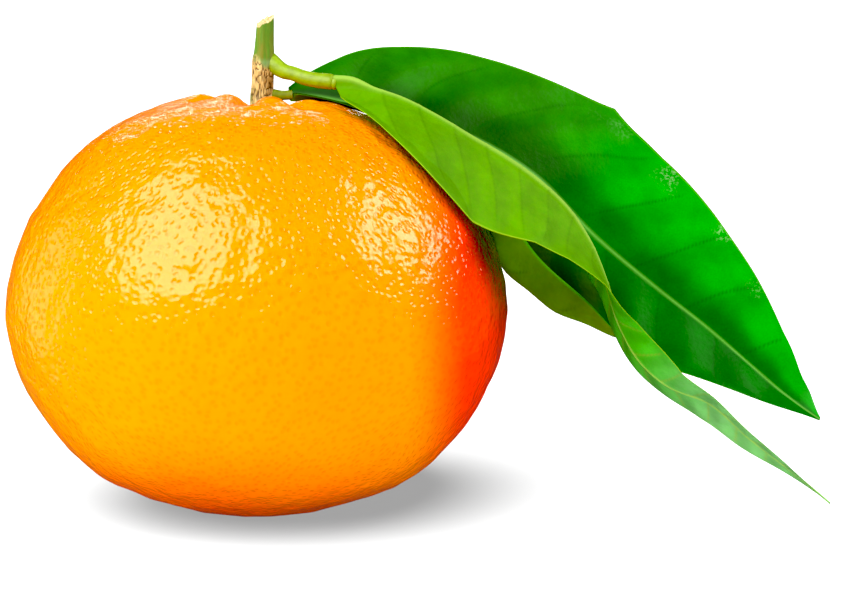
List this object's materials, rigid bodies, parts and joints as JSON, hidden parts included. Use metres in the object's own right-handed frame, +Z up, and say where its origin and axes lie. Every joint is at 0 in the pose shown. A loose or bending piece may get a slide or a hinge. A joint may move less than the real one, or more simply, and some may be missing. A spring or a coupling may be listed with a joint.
{
  "type": "mandarin with leaves",
  "caption": "Whole ripe mandarin on its flattened underside, with a short cut stem and glossy green leaves that hang over one shoulder.",
  "frame": {"origin": "centre of the small flat spot that the fruit rests on", "axes": "+Z up out of the resting surface, +X towards the side that the leaves hang on, -Y towards the front"},
  "size_m": [0.1094, 0.0656, 0.0654],
  "materials": {
    "peel": "glossy waxed citrus peel with fine oil pits, orange with a redder underside",
    "calyx": "dry, matt, green-brown",
    "bark": "matt twig, green above and fissured tan bark below, cream cut end",
    "stalk": "smooth fresh green leaf stalk, slightly glossy",
    "leaf_light": "matt yellow-green underside with fine veins, glossy green upper side",
    "leaf_dark": "glossy deep green upper side with a pale midrib, matt olive underside"
  },
  "bodies": {
    "root": {"fruit": "peel", "calyx": "calyx", "stem": "bark", "front_petiole": "stalk", "front_leaf": "leaf_light", "back_petiole": "stalk", "back_leaf": "leaf_dark"}
  },
  "joints": []
}
